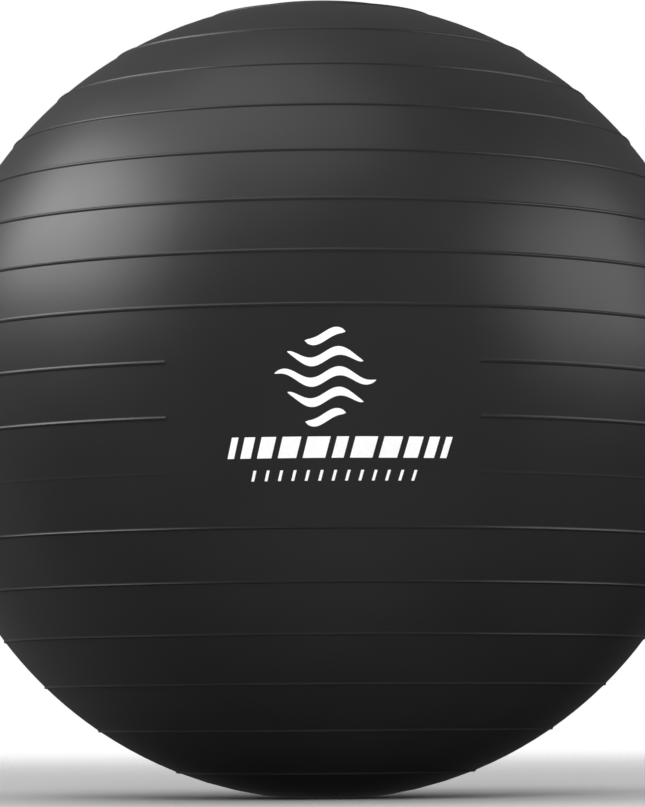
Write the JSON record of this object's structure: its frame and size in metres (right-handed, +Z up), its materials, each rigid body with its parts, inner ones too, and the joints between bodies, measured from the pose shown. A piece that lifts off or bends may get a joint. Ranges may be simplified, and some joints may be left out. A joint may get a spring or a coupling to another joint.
{
  "type": "exercise ball",
  "caption": "Inflated ribbed exercise ball with a smooth printed panel and a push-in air plug in a valve at its upper pole.",
  "frame": {"origin": "middle of the small flat that the ball stands on, at floor level", "axes": "+Z up, along the axis of the ribs and of the valve; -Y out of the middle of the printed panel"},
  "size_m": [0.6518, 0.651, 0.6489],
  "materials": {
    "skin": "satin",
    "valve": "satin",
    "plug": "gloss",
    "print": "matte"
  },
  "bodies": {
    "ball": {"ball_skin": "skin", "valve_seat": "valve"},
    "plug": {"air_plug": "plug"}
  },
  "joints": [
    {"name": "plug_pull", "type": "slide", "parent": "ball", "child": "plug", "axis": [0, 0, 1], "range_m": [0, 0.04]}
  ]
}
